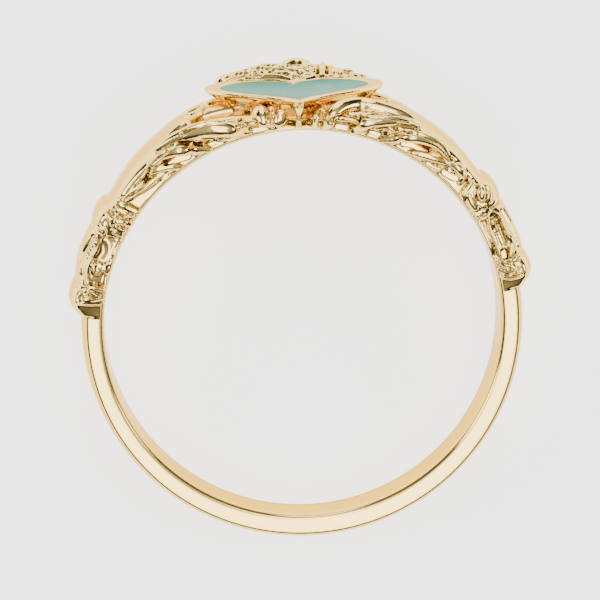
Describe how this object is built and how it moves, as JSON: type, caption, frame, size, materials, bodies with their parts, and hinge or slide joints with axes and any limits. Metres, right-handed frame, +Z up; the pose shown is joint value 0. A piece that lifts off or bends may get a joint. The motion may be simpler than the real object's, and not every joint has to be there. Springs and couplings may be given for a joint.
{
  "type": "claddagh ring",
  "caption": "Gold claddagh ring: two hands hold a crowned heart of flat green stone on a plain tapering shank.",
  "frame": {"origin": "on the surface that the ring lies on, at the middle of its footprint", "axes": "+Z up, +Y towards the crowned head, +X across the finger; the finger hole leans 14 degrees from +Z towards -Y"},
  "size_m": [0.0202, 0.0211, 0.0091],
  "materials": {
    "gold": "polished",
    "stone": "polished"
  },
  "bodies": {
    "root": {"ring_body": "gold", "heart_stone": "stone"}
  },
  "joints": []
}
